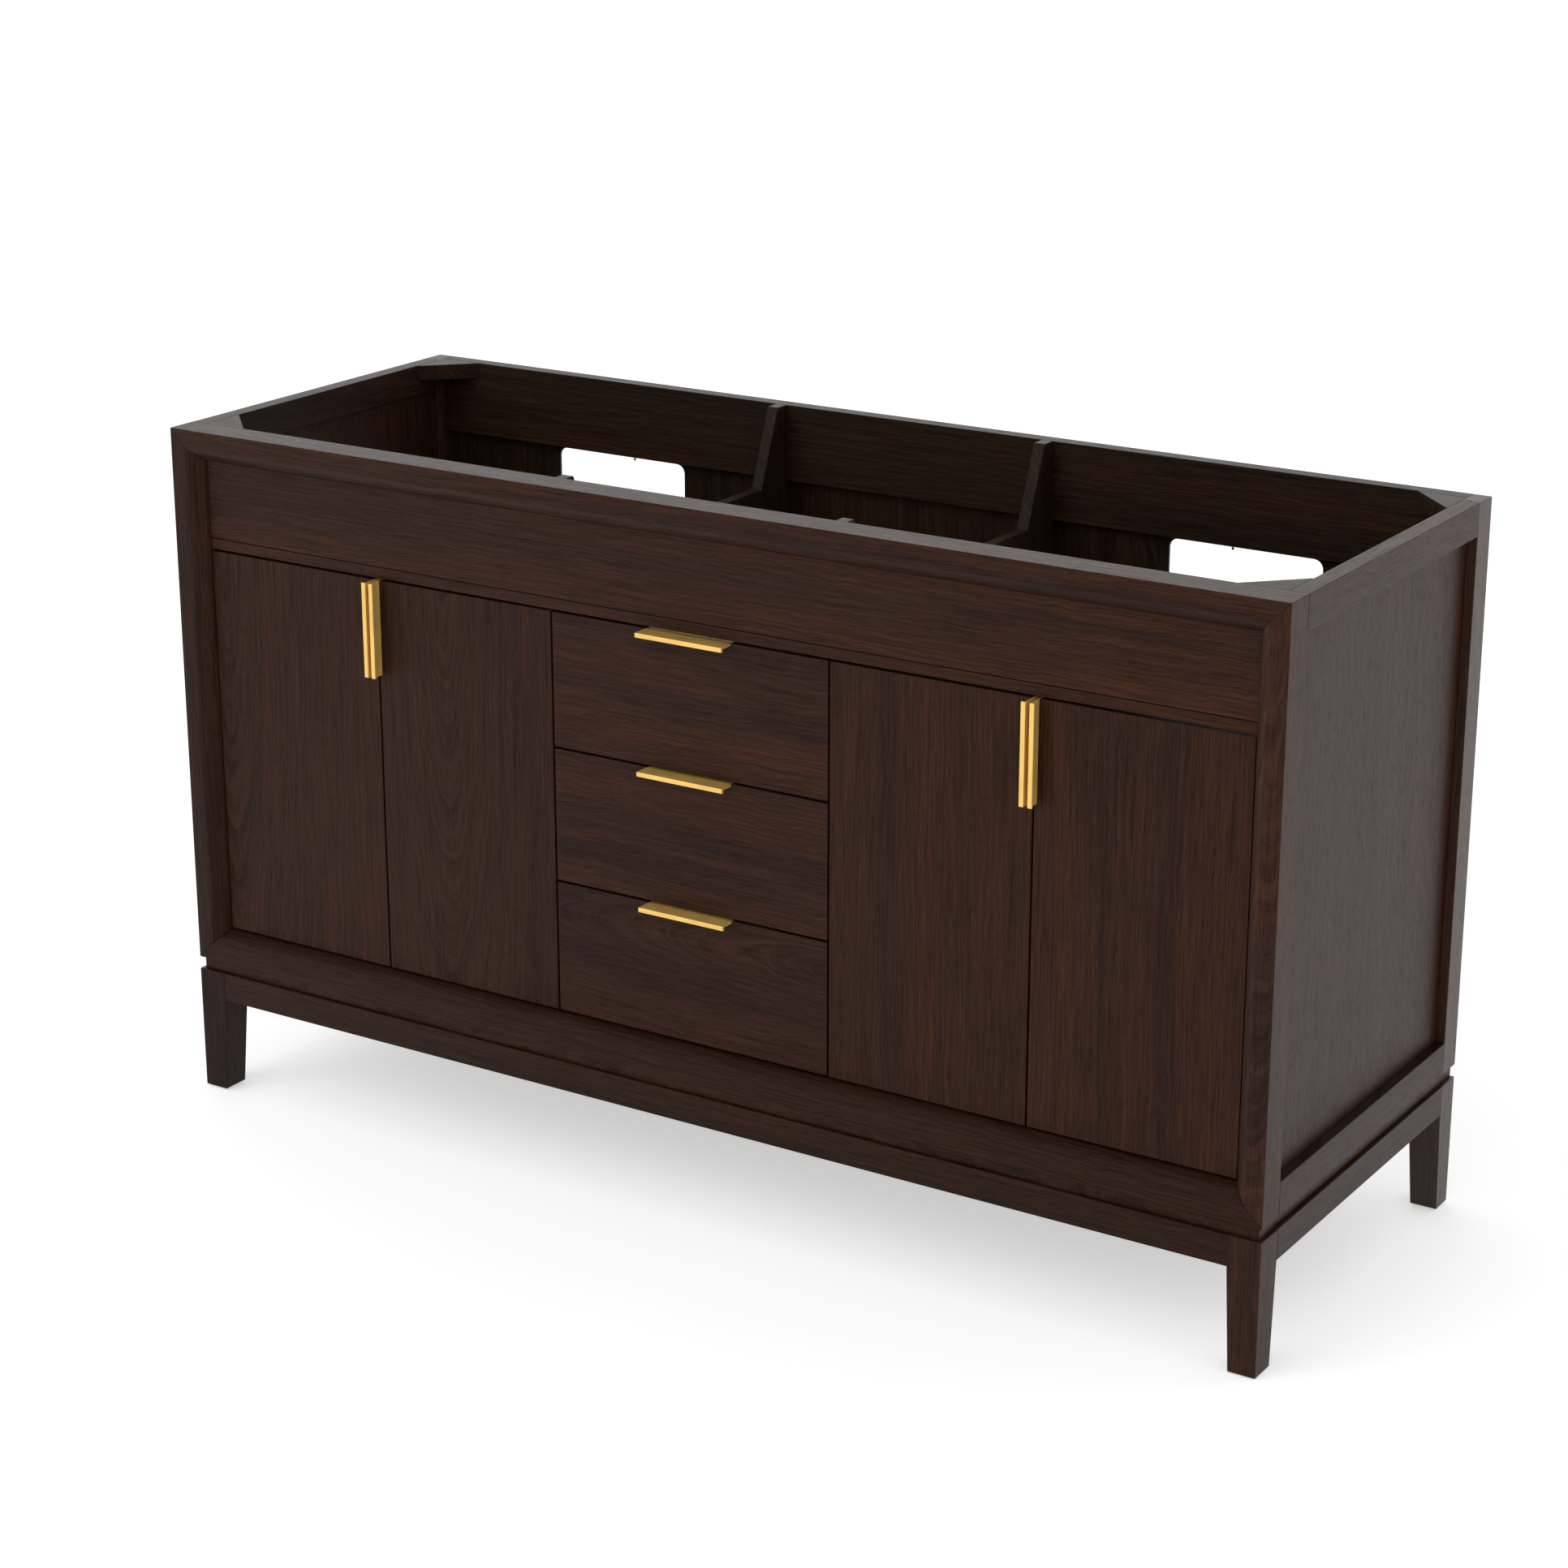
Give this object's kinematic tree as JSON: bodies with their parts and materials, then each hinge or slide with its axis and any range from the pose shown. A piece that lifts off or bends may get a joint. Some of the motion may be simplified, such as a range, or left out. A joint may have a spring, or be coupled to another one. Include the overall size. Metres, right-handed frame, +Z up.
{
  "type": "bathroom vanity cabinet",
  "caption": "Open-top bathroom vanity base with hinged doors, a bank of drawers, brass edge pulls and tapered legs.",
  "frame": {"origin": "on the floor, centred under the cabinet", "axes": "+X along the width, +Y to the back, +Z up; the doors face -Y"},
  "size_m": [1.524, 0.5462, 0.889],
  "materials": {
    "espresso_wood": "satin dark stain on straight-grained hardwood",
    "interior_wood": "dark stained panel, matte lacquer",
    "drawer_birch": "clear lacquered birch",
    "brass": "satin brushed brass",
    "hinge_steel": "nickel-plated pressed steel",
    "slide_steel": "zinc-plated sheet steel",
    "glide_plastic": "black moulded plastic"
  },
  "bodies": {
    "cabinet": {"apron_back": "espresso_wood", "apron_front": "espresso_wood", "apron_left": "espresso_wood", "apron_right": "espresso_wood", "back_panel": "interior_wood", "back_post_left": "espresso_wood", "back_post_right": "espresso_wood", "back_top_rail": "interior_wood", "corner_gussets": "interior_wood", "deck_panel": "interior_wood", "divider_left": "interior_wood", "divider_right": "interior_wood", "face_strip": "espresso_wood", "false_front_panel": "espresso_wood", "foot_glides": "glide_plastic", "front_bottom_rail": "espresso_wood", "front_post_left": "espresso_wood", "front_post_right": "espresso_wood", "front_top_rail": "espresso_wood", "hinge_arms": "hinge_steel", "leg_back_left": "espresso_wood", "leg_back_right": "espresso_wood", "leg_front_left": "espresso_wood", "leg_front_right": "espresso_wood", "recessed_band": "espresso_wood", "side_panel_left": "espresso_wood", "side_panel_right": "espresso_wood", "side_rails_left": "espresso_wood", "side_rails_right": "espresso_wood", "slide_cabinet_members": "slide_steel"},
    "door_outer_left": {"door_outer_left": "espresso_wood", "door_outer_left_hinge_cups": "hinge_steel", "door_outer_left_pull": "brass"},
    "door_inner_left": {"door_inner_left": "espresso_wood", "door_inner_left_hinge_cups": "hinge_steel", "door_inner_left_pull": "brass"},
    "door_inner_right": {"door_inner_right": "espresso_wood", "door_inner_right_hinge_cups": "hinge_steel", "door_inner_right_pull": "brass"},
    "door_outer_right": {"door_outer_right": "espresso_wood", "door_outer_right_hinge_cups": "hinge_steel", "door_outer_right_pull": "brass"},
    "drawer_top": {"drawer_top_bottom": "drawer_birch", "drawer_top_box": "drawer_birch", "drawer_top_front": "espresso_wood", "drawer_top_pull": "brass", "drawer_top_slide_runners": "slide_steel"},
    "slide_top_middle": {"drawer_top_slide_middle": "slide_steel"},
    "drawer_middle": {"drawer_middle_bottom": "drawer_birch", "drawer_middle_box": "drawer_birch", "drawer_middle_front": "espresso_wood", "drawer_middle_pull": "brass", "drawer_middle_slide_runners": "slide_steel"},
    "slide_middle_middle": {"drawer_middle_slide_middle": "slide_steel"},
    "drawer_bottom": {"drawer_bottom_bottom": "drawer_birch", "drawer_bottom_box": "drawer_birch", "drawer_bottom_front": "espresso_wood", "drawer_bottom_pull": "brass", "drawer_bottom_slide_runners": "slide_steel"},
    "slide_bottom_middle": {"drawer_bottom_slide_middle": "slide_steel"}
  },
  "joints": [
    {"name": "door_outer_left_hinge", "type": "hinge", "parent": "cabinet", "child": "door_outer_left", "pos_m": [-0.7205, -0.2545, 0.479], "axis": [0, 0, -1], "range_deg": [0, 105]},
    {"name": "door_inner_left_hinge", "type": "hinge", "parent": "cabinet", "child": "door_inner_left", "pos_m": [-0.1945, -0.2545, 0.479], "axis": [0, 0, 1], "range_deg": [0, 86]},
    {"name": "door_inner_right_hinge", "type": "hinge", "parent": "cabinet", "child": "door_inner_right", "pos_m": [0.1945, -0.2545, 0.479], "axis": [0, 0, -1], "range_deg": [0, 86]},
    {"name": "door_outer_right_hinge", "type": "hinge", "parent": "cabinet", "child": "door_outer_right", "pos_m": [0.7205, -0.2545, 0.479], "axis": [0, 0, 1], "range_deg": [0, 105]},
    {"name": "drawer_top_slide", "type": "slide", "parent": "cabinet", "child": "drawer_top", "axis": [0, -1, 0], "range_m": [0, 0.44]},
    {"name": "slide_top_middle_travel", "type": "slide", "parent": "cabinet", "child": "slide_top_middle", "axis": [0, -1, 0], "range_m": [0, 0.22]},
    {"name": "drawer_middle_slide", "type": "slide", "parent": "cabinet", "child": "drawer_middle", "axis": [0, -1, 0], "range_m": [0, 0.44]},
    {"name": "slide_middle_middle_travel", "type": "slide", "parent": "cabinet", "child": "slide_middle_middle", "axis": [0, -1, 0], "range_m": [0, 0.22]},
    {"name": "drawer_bottom_slide", "type": "slide", "parent": "cabinet", "child": "drawer_bottom", "axis": [0, -1, 0], "range_m": [0, 0.44]},
    {"name": "slide_bottom_middle_travel", "type": "slide", "parent": "cabinet", "child": "slide_bottom_middle", "axis": [0, -1, 0], "range_m": [0, 0.22]}
  ],
  "couplings": [
    {"joint": "slide_top_middle_travel", "follows": "drawer_top_slide", "ratio": 0.5},
    {"joint": "slide_middle_middle_travel", "follows": "drawer_middle_slide", "ratio": 0.5},
    {"joint": "slide_bottom_middle_travel", "follows": "drawer_bottom_slide", "ratio": 0.5}
  ]
}
